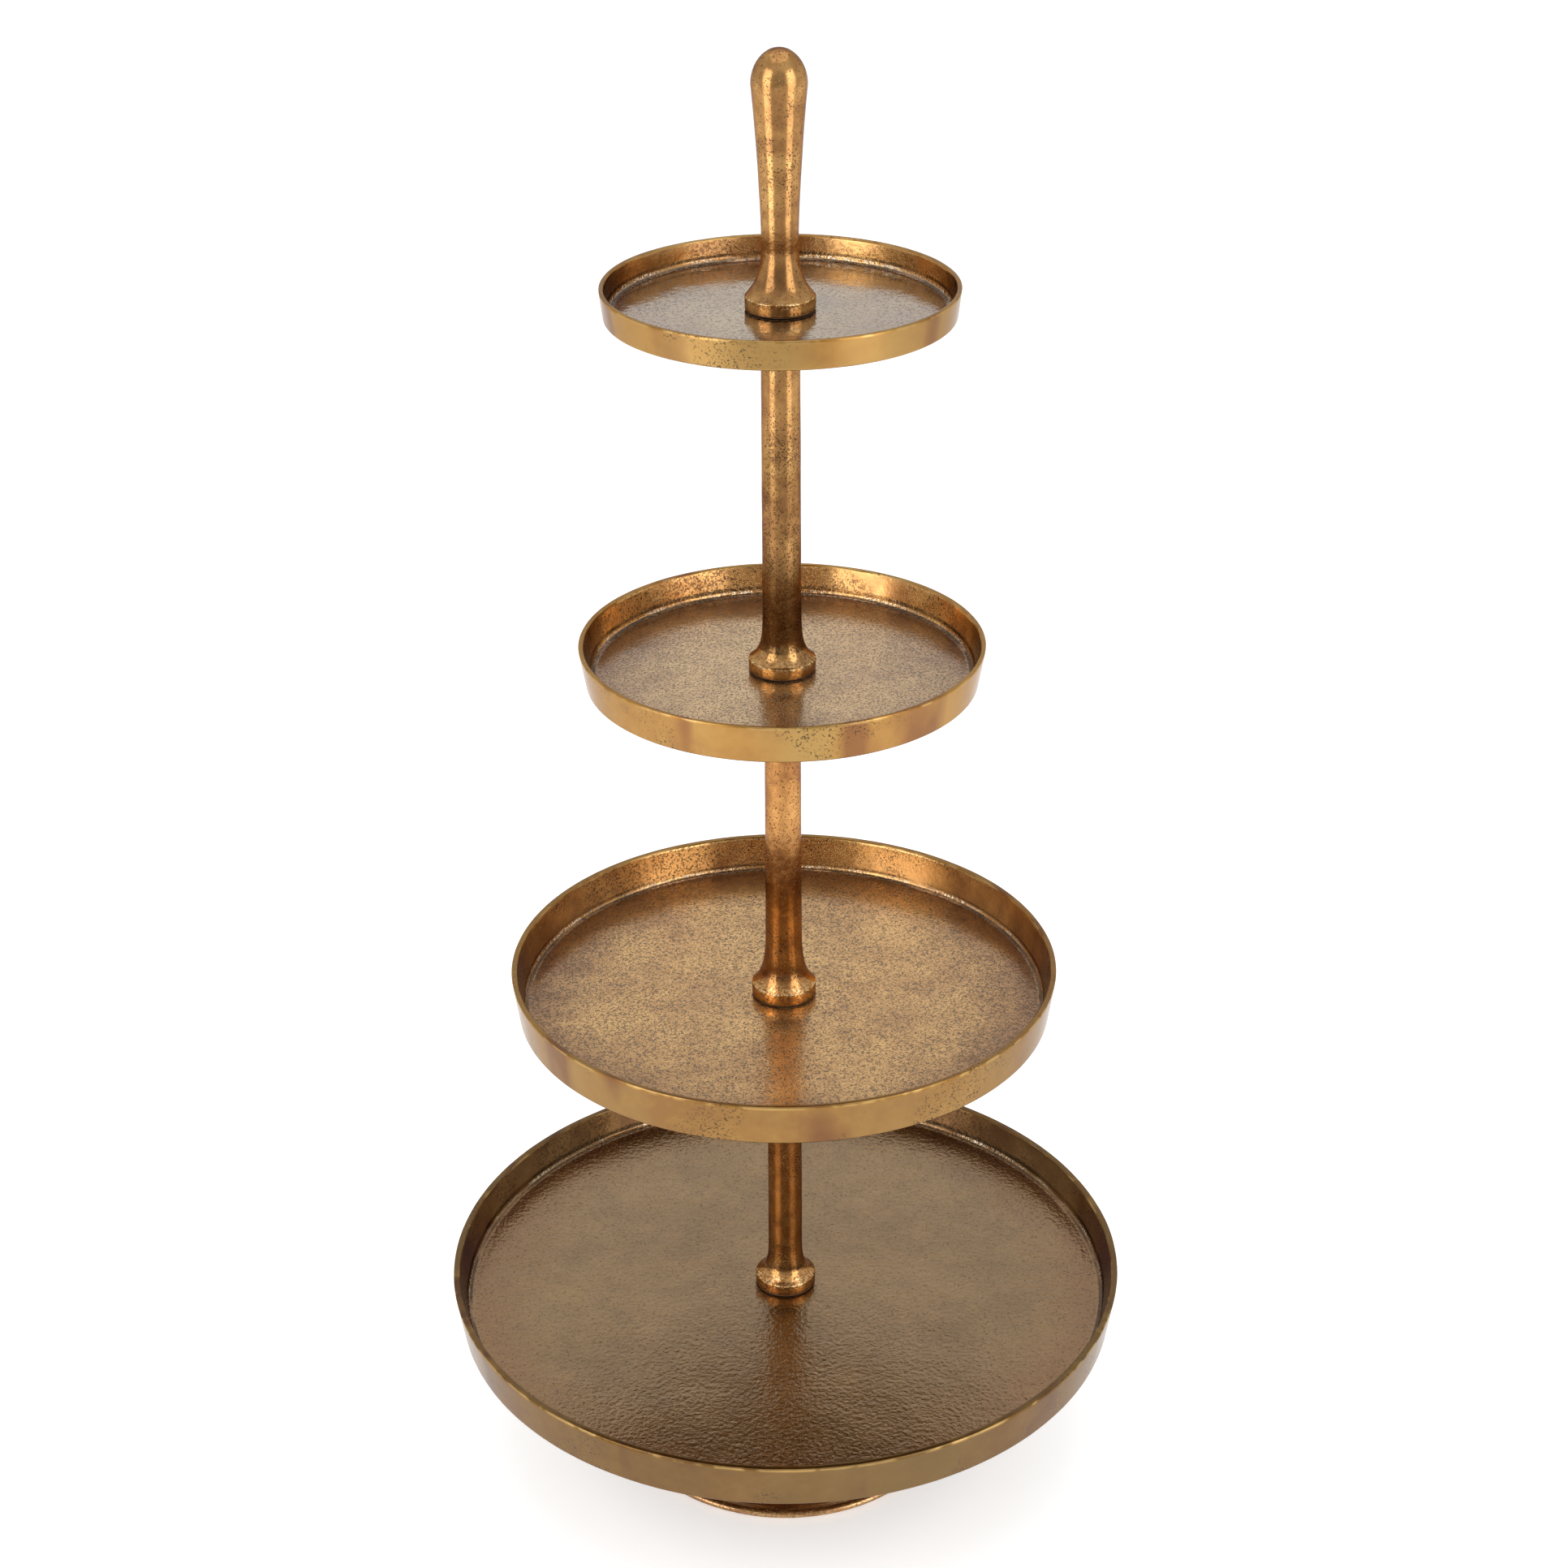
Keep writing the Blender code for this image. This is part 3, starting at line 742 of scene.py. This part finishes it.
def collar_outline(shape, collar_r, bottom, reach):
    """The flare from reach over the band down, the collar, and the blind bore in its underside."""
    band_top = bottom + shape["band"]
    points = []
    for step in range(FLARE_STEPS, -1, -1):
        height = BAND_EDGE + (reach - BAND_EDGE) * (step / FLARE_STEPS) ** CROWDING
        points.append((flare(shape, collar_r, height), band_top + height, "flare"))
    corners = ((points[-1][0], band_top + BAND_EDGE), (collar_r, band_top), (collar_r, bottom),
               (collar_r - 2 * MM, bottom))
    points += rounded(corners, (0.0, 0.3 * MM, 0.2 * MM, 0.0), "collar")[1:]
    return points + [(STUD_BORE_R, bottom, "collar"), (STUD_BORE_R, bottom + BORE_DEPTH, "collar"),
                     (0.0, bottom + BORE_DEPTH, "collar")]


def head_outline(shaft_r, head_r, top):
    """From the axis in the socket up, over the stem's head and down the cove under it."""
    socket_z = top - SOCKET_DEPTH
    points = [(0.0, socket_z, "head"), (STUD_BORE_R, socket_z, "head"),
              (STUD_BORE_R, top - 0.3 * MM, "head")]
    corners = ((STUD_BORE_R + 0.5 * MM, top), (head_r, top), (head_r, top - HEAD_H),
               (head_r - 2 * MM, top - HEAD_H - 0.8 * MM))
    points += rounded(corners, (0.0, HEAD_EDGE, HEAD_EDGE, 0.0), "head")
    cove_r = head_r - HEAD_EDGE
    points += arc((cove_r, top - HEAD_H - HEAD_EDGE - COVE_H), (cove_r - shaft_r, COVE_H), 100,
                  180, 10, "head")
    return points


def grip_outline(neck_r, neck_z, top):
    """From the top of the grip's dome down to its neck."""
    wide_z = top - GRIP_DOME_H
    points = [(0.0, top, "grip")]
    points += arc((0.0, wide_z), (GRIP_R, GRIP_DOME_H), 90, 0, 24, "grip")
    for step in range(GRIP_STEPS - 1, -1, -1):
        share = step / GRIP_STEPS
        points.append((neck_r + (GRIP_R - neck_r) * share ** GRIP_POWER,
                       neck_z + (wide_z - neck_z) * share, "grip"))
    return points


def stem_relief(seed):
    """Unevenness of a stem or handle: soft dents, shallower on the collar."""

    def relief(place, outward, angle, face):
        if math.hypot(place.x, place.y) < BORE_CALM_R:
            return 0.0
        depth = 0.10 * MM if face == "collar" else 0.22 * MM
        return sunk(place, seed, (depth, 26 * MM), (0.03 * MM, 4 * MM))

    return relief


def stem_wear_and_painted_light(seed, band_top, darkening_and_highlight):
    """Bright metal with a painted highlight on the collar's upper edge, a painted highlight fading
    up the flare, painted shade on the collar's band, and darker metal fading up the shaft.

    The last argument holds the height over the collar that the darkening reaches, how dense it
    is, and how strong the painted highlight on the flare just over the collar is.
    """
    reach, dense, bright = darkening_and_highlight

    def wear_and_painted_light(place, face):
        over = (place.z - band_top) / MM
        # Scuffed bright edge with a painted highlight, then a painted highlight fading up the
        # flare.
        if face in ("collar", "flare") and -BRIGHT_BELOW < over < FLARE_HIGHLIGHT_FADE:
            wear_and_highlight = 1.0 if over < BRIGHT_ABOVE else bright * (1.0 - over / FLARE_HIGHLIGHT_FADE)
            return clamped(wear_and_highlight * (0.8 + 0.5 * uneven(place, 6 * MM, seed)))
        # Painted shade on the collar's band.
        if over <= -BRIGHT_BELOW:
            return -0.5
        # Darker, more pitted metal that fades up the shaft from the collar.
        left = 1.0 - clamped((place.z - band_top) / reach)
        return -dense * left * clamped(0.8 + 0.8 * uneven(place, 14 * MM, seed + 2))

    return wear_and_painted_light


def add_stem(node, body, material, seed, darkening_and_highlight):
    """A stem in the place of its CAD node: head, shaft, flare and collar."""
    low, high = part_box(node)
    shape = STEM_SHAPES[node]
    collar_r = high.x
    band_top = low.z + shape["band"]
    outline = head_outline(shape["shaft_r"] - SHAFT_TAPER, HEAD_R[node], high.z)
    radius, height, _ = outline[-1]
    shaft_low = band_top + FLARE_H
    outline += line((radius, height), (flare(shape, collar_r, FLARE_H), shaft_low),
                    round((height - shaft_low) / SHAFT_STEP), "shaft")
    outline += collar_outline(shape, collar_r, low.z, FLARE_H)[1:]
    piece = spun(f"cast_{node}", outline, STEM_SEGMENTS, material, stem_relief(seed),
                 stem_wear_and_painted_light(seed, band_top, darkening_and_highlight))
    placed(piece, body, "cast_stem", node)


def add_handle(material, seed, darkening_and_highlight):
    """The handle: domed grip that narrows to a neck over its flared collar."""
    low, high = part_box("handle")
    shape = STEM_SHAPES["handle"]
    flare_h = GRIP_NECK_H - shape["band"]
    outline = grip_outline(flare(shape, high.x, flare_h), low.z + GRIP_NECK_H, high.z)
    outline += collar_outline(shape, high.x, low.z, flare_h - 1.5 * MM)
    piece = spun("cast_handle", outline, STEM_SEGMENTS, material, stem_relief(seed),
                 stem_wear_and_painted_light(seed, low.z + shape["band"], darkening_and_highlight))
    placed(piece, "handle_section", "cast_stem", "handle")


# Foot ---------------------------------------------------------------------------------------
FOOT_SEGMENTS = 360
FOOT_BOSS_R = 26.5 * MM          # flat top that carries the base stem
FOOT_SHOULDER = ((31 * MM, 2.0 * MM), (38.5 * MM, 3.5 * MM))    # radius, and drop from the top
FOOT_SLOPE_END = (70 * MM, 6.0 * MM)            # radius and Z
FOOT_LIP = (3.3 * MM, 2.65 * MM)                # half width and half height
FOOT_LIP_ROOT_Z = 4.9 * MM
FOOT_RECESS = (83 * MM, 1 * MM)  # radius and height of the hollow underside
FOOT_BORE = (12 * MM, 7 * MM)    # radius and top Z of the hollow for the screw's head
FOOT_SEED = 51.0


def foot_outline(lip_r, under, top):
    """Boss, shoulder, shallow slope, half-round lip and the recessed underside."""
    shoulder = [(radius, top - drop) for radius, drop in FOOT_SHOULDER]
    lip_mid = (lip_r - FOOT_LIP[0], under + FOOT_LIP[1])
    recess_r, recess_h = FOOT_RECESS
    recess_z = under + recess_h
    bore_r, bore_z = FOOT_BORE
    points = [(STUD_BORE_R, top, "top")]
    points += line((STUD_BORE_R, top), (FOOT_BOSS_R - 1 * MM, top), 6, "top")
    points += rounded(((FOOT_BOSS_R, top), *shoulder), (0.0, 3 * MM, 0.0), "top", 8)[1:]
    points += line(shoulder[1], FOOT_SLOPE_END, 12, "top")
    points += line(FOOT_SLOPE_END, (lip_r - FOOT_LIP[0] - 3 * MM, FOOT_LIP_ROOT_Z), 10, "top")
    points += arc(lip_mid, FOOT_LIP, 150, -80, 18, "lip")
    points += line((lip_mid[0] + 0.5 * MM, under), (recess_r, under), 5, "under")
    points += line((recess_r, under), (recess_r - recess_h, recess_z), 2, "under")
    points += line((recess_r - recess_h, recess_z), (bore_r, recess_z), 20, "under")
    points += line((bore_r, recess_z), (bore_r, bore_z), 3, "under")
    points += line((bore_r, bore_z), (STUD_BORE_R, bore_z), 3, "under")
    return points


def foot_relief(place, outward, angle, face):
    """Unevenness of the foot outside its boss."""
    if math.hypot(place.x, place.y) < FOOT_BOSS_R + 0.5 * MM:
        return 0.0
    return sunk(place, FOOT_SEED, (0.16 * MM, 30 * MM), (0.04 * MM, 6 * MM))


def foot_wear(place, face):
    """Bright metal in patches along the lip."""
    if face != "lip":
        return 0.0
    return clamped(0.35 + 0.6 * uneven(place, 16 * MM, FOOT_SEED + 2))


def add_foot(material):
    """The foot in the place of its CAD node."""
    low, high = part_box("foot")
    piece = spun("cast_foot", foot_outline(high.x, low.z, high.z), FOOT_SEGMENTS, material,
                 foot_relief, foot_wear)
    placed(piece, "base", "cast_foot", "foot")


# Hardware -----------------------------------------------------------------------------------
STUD_SEGMENTS = 32
WASHER_SEGMENTS = 96
SMALL_SEGMENTS = 48              # of the screw and the pads
CHAMFER = 0.8 * MM
ROWS_A_TURN = 8                  # rings of points for each turn of a thread
SCREW_R = 4.0 * MM
SCREW_HEAD_H = 3.5 * MM
SOCKET_R = 2.9 * MM              # corners of the screw's hexagon socket
SOCKET_H = 2.4 * MM


def thread_relief(low_z, high_z):
    """A right-hand thread cut into a shank between two heights, with narrow flat crests."""

    def relief(place, outward, angle, face):
        if face != "thread":
            return 0.0
        phase = (place.z / THREAD_PITCH - angle / math.tau) % 1.0
        valley = abs(2.0 * phase - 1.0)
        ends = clamped(min(place.z - low_z, high_z - place.z) / MM)
        return -THREAD_DEPTH * clamped(1.25 * valley - 0.12) * ends

    return relief


def shank_outline(radius, bottom, top):
    """From the axis over a shank's chamfered end and down its thread."""
    rows = round((top - CHAMFER - bottom) / (THREAD_PITCH / ROWS_A_TURN))
    points = [(0.0, top, "end"), (radius - CHAMFER, top, "end"), (radius, top - CHAMFER, "end")]
    return points + line((radius, top - CHAMFER), (radius, bottom), rows, "thread")


def add_stud(tier, steel):
    """A threaded stud through a tray."""
    low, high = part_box(f"stud_{tier}")
    bottom = low.z + CHAMFER
    points = shank_outline(high.x, bottom, high.z)
    points += [(high.x - CHAMFER, low.z, "end"), (0.0, low.z, "end")]
    piece = spun(f"threaded_stud_{tier}", points, STUD_SEGMENTS, steel,
                 thread_relief(bottom, high.z - CHAMFER))
    placed(piece, BODY_OVER[tier], "steel", f"stud_{tier}")


def add_washer(node, body, slot, material):
    """A washer with softened edges."""
    low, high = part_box(node)
    corners = ((HOLE_R, high.z), (high.x, high.z), (high.x, low.z), (HOLE_R, low.z))
    edge = 0.35 * (high.z - low.z)
    piece = spun(f"{node}_piece", rounded(corners, (edge,) * 4, "face", 3), WASHER_SEGMENTS,
                 material)
    placed(piece, body, slot, node)


def add_foot_screw(steel):
    """The screw under the foot: rounded head with a hexagon socket, threaded shank."""
    low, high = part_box("foot_screw")
    head_top = low.z + SCREW_HEAD_H
    points = shank_outline(SCREW_R, head_top, high.z)
    corners = ((SCREW_R + 0.1 * MM, head_top), (high.x, head_top), (high.x, low.z),
               (SOCKET_R, low.z))
    points += rounded(corners, (0.0, 0.4 * MM, 1.2 * MM, 0.0), "head", 6)
    points += [(SOCKET_R, low.z + SOCKET_H, "socket"), (0.0, low.z + SOCKET_H, "socket")]
    thread = thread_relief(head_top, high.z - CHAMFER)
    flat = math.cos(math.pi / 6)

    def relief(place, outward, angle, face):
        on_socket = abs(math.hypot(place.x, place.y) - SOCKET_R) < 0.01 * MM
        if on_socket and place.z < head_top:
            sector = angle % (math.pi / 3) - math.pi / 6
            return 0.0 if abs(outward.z) > 0.9 else SOCKET_R * (1 - flat / math.cos(sector))
        return thread(place, outward, angle, face)

    piece = spun("foot_screw_piece", points, SMALL_SEGMENTS, steel, relief)
    placed(piece, "base", "steel", "foot_screw")


def add_pad(number, felt):
    """A felt pad with a soft edge, under the foot's rim."""
    node = f"foot_pad_{number}"
    low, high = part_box(node)
    centre = (low + high) / 2
    radius = (high.x - low.x) / 2
    height = high.z - low.z
    inner_r = radius - 1 * MM
    corners = ((inner_r, height), (radius, height), (radius, 0.0), (inner_r, 0.0))
    points = [(0.0, height, "felt")]
    points += rounded(corners, (0.0, 0.2 * MM, 0.25 * MM, 0.0), "felt", 3)
    points += [(0.0, 0.0, "felt")]
    piece = spun(f"felt_pad_{number}", points, SMALL_SEGMENTS, felt)
    piece.location = (centre.x, centre.y, low.z)
    placed(piece, "base", "felt", node)


# Studio -------------------------------------------------------------------------------------
CAMERA_PLACE = (0.0041, -1.488, 1.1945)
CAMERA_DOWN_DEG = 26.66
CAMERA_ROLL_DEG = 0.267
CAMERA_LENS = 67.66              # in mm, on a sensor 36 mm wide
FLOOR_REACH = 9.0
FLOOR_DROP = 0.0002              # keeps the floor just under the pads
SIDE_BOXES = (("softbox_left", -1, 9.8), ("softbox_right", 1, 8.4))     # side and watts


def add_camera():
    """The camera, in front of the stand and looking down on it."""
    data = bpy.data.cameras.new("camera")
    data.sensor_width = 36.0
    data.lens = CAMERA_LENS
    camera = bpy.data.objects.new("camera", data)
    camera.location = CAMERA_PLACE
    camera.rotation_euler = (math.radians(90.0 - CAMERA_DOWN_DEG), math.radians(CAMERA_ROLL_DEG),
                             0.0)
    bpy.context.scene.collection.objects.link(camera)
    bpy.context.scene.camera = camera


def fade_along_y(tree, coordinates, start, end):
    """Smooth change of a value along Y of the coordinates. Start and end are (Y, value)."""
    place = tree.nodes.new("ShaderNodeTexCoord")
    split = tree.nodes.new("ShaderNodeSeparateXYZ")
    fade = tree.nodes.new("ShaderNodeMapRange")
    fade.interpolation_type = "SMOOTHSTEP"
    fade.inputs["From Min"].default_value = start[0]
    fade.inputs["From Max"].default_value = end[0]
    fade.inputs["To Min"].default_value = start[1]
    fade.inputs["To Max"].default_value = end[1]
    tree.links.new(place.outputs[coordinates], split.inputs["Vector"])
    tree.links.new(split.outputs["Y"], fade.inputs["Value"])
    return fade.outputs["Result"]


def add_floor():
    """Pale floor that runs out of view and glows a little, less so in front of the stand."""
    mesh = bpy.data.meshes.new("studio_floor")
    mesh.from_pydata([(-FLOOR_REACH, -FLOOR_REACH, 0.0), (FLOOR_REACH, -FLOOR_REACH, 0.0),
                      (FLOOR_REACH, FLOOR_REACH, 0.0), (-FLOOR_REACH, FLOOR_REACH, 0.0)],
                     [], [(0, 1, 2, 3)])
    floor = bpy.data.objects.new("studio_floor", mesh)
    floor.location.z = -FLOOR_DROP
    material = bpy.data.materials.new("studio_floor")
    material.use_nodes = True
    tree = material.node_tree
    shader = tree.nodes["Principled BSDF"]
    shader.inputs["Base Color"].default_value = (0.90, 0.90, 0.90, 1.0)
    shader.inputs["Roughness"].default_value = 0.9
    shader.inputs["Emission Color"].default_value = (1.0, 1.0, 1.0, 1.0)
    glow = fade_along_y(tree, "Object", (-1.3, 0.1), (-0.3, 0.42))
    tree.links.new(glow, shader.inputs["Emission Strength"])
    mesh.materials.append(material)
    bpy.context.scene.collection.objects.link(floor)


def add_world():
    """White studio tent all round, with a dark opening in front."""
    world = bpy.data.worlds.new("studio")
    bpy.context.scene.world = world
    world.use_nodes = True
    tree = world.node_tree
    background = tree.nodes["Background"]
    background.inputs["Color"].default_value = (1.0, 1.0, 1.0, 1.0)
    brightness = fade_along_y(tree, "Generated", (-0.92, 0.42), (-0.62, 0.78))
    tree.links.new(brightness, background.inputs["Strength"])


def add_softbox(name, place, target, size, power):
    """A rectangular area light that faces target."""
    data = bpy.data.lights.new(name, "AREA")
    data.shape = "RECTANGLE"
    data.size = size[0]
    data.size_y = size[1]
    data.energy = power
    light = bpy.data.objects.new(name, data)
    light.location = place
    aim = Vector(target) - Vector(place)
    light.rotation_euler = aim.to_track_quat("-Z", "Y").to_euler()
    bpy.context.scene.collection.objects.link(light)


def add_lights():
    """Two tall soft boxes at the front's sides and one overhead."""
    for name, side, power in SIDE_BOXES:
        add_softbox(name, (1.05 * side, -0.85, 0.85), (0.0, 0.0, 0.45), (0.80, 1.6), power)
    add_softbox("softbox_top", (0.0, 0.3, 2.6), (0.0, 0.0, 0.3), (2.0, 2.0), 9.0)
    bpy.context.scene.view_settings.view_transform = "Standard"


# The whole stand ----------------------------------------------------------------------------
BRONZE_TONES = ((0.290, 0.132, 0.036), (0.420, 0.206, 0.058), (0.540, 0.288, 0.090))
COPPER_TONES = ((0.320, 0.128, 0.030), (0.450, 0.200, 0.050), (0.570, 0.280, 0.080))
FOOT_TONES = ((0.330, 0.165, 0.066), (0.440, 0.230, 0.092), (0.550, 0.300, 0.122))
STEM_LOOK = {"from": 0.60, "dark": 0.8, "gloss": 0.20, "deep": 1.0}
FOOT_LOOK = {"from": 0.58, "dark": 0.6, "gloss": 0.26, "deep": 0.7}


def main():
    """Build every piece, then the studio."""
    add_camera()
    for tier in TIERS:
        add_tray(tier)
    bronze = cast_shaft("cast_bronze", BRONZE_TONES, STEM_LOOK)
    copper = cast_shaft("cast_copper", COPPER_TONES, STEM_LOOK)
    add_foot(cast_shaft("cast_foot", FOOT_TONES, FOOT_LOOK))
    # The last numbers of each stem and of the handle: how high the darkening reaches up from the
    # collar, how dense it is, and how strong the painted highlight on the flare is.
    add_stem("base_stem", "base", copper, 11.0, (40 * MM, 0.6, 0.5))
    add_stem("stem_1", "section_1", copper, 12.0, (120 * MM, 0.6, 0.8))
    add_stem("stem_2", "section_2", copper, 13.0, (60 * MM, 0.4, 0.8))
    add_stem("stem_3", "section_3", bronze, 14.0, (230 * MM, 0.7, 0.5))
    add_handle(bronze, 41.0, (40 * MM, 0.2, 0.25))
    steel = plated_steel()
    rubber = brown_rubber()
    for tier in TIERS:
        add_stud(tier, steel)
        add_washer(f"collar_washer_{tier}", f"washer_{tier}", "washer", rubber)
        add_washer(f"seat_washer_{tier}", BODY_UNDER[tier], "washer", rubber)
    add_washer("foot_washer", "base", "steel", steel)
    add_foot_screw(steel)
    felt = brown_felt()
    for number in (1, 2, 3, 4):
        add_pad(number, felt)
    add_floor()
    add_world()
    add_lights()


main()

bpy.context.view_layer.update()
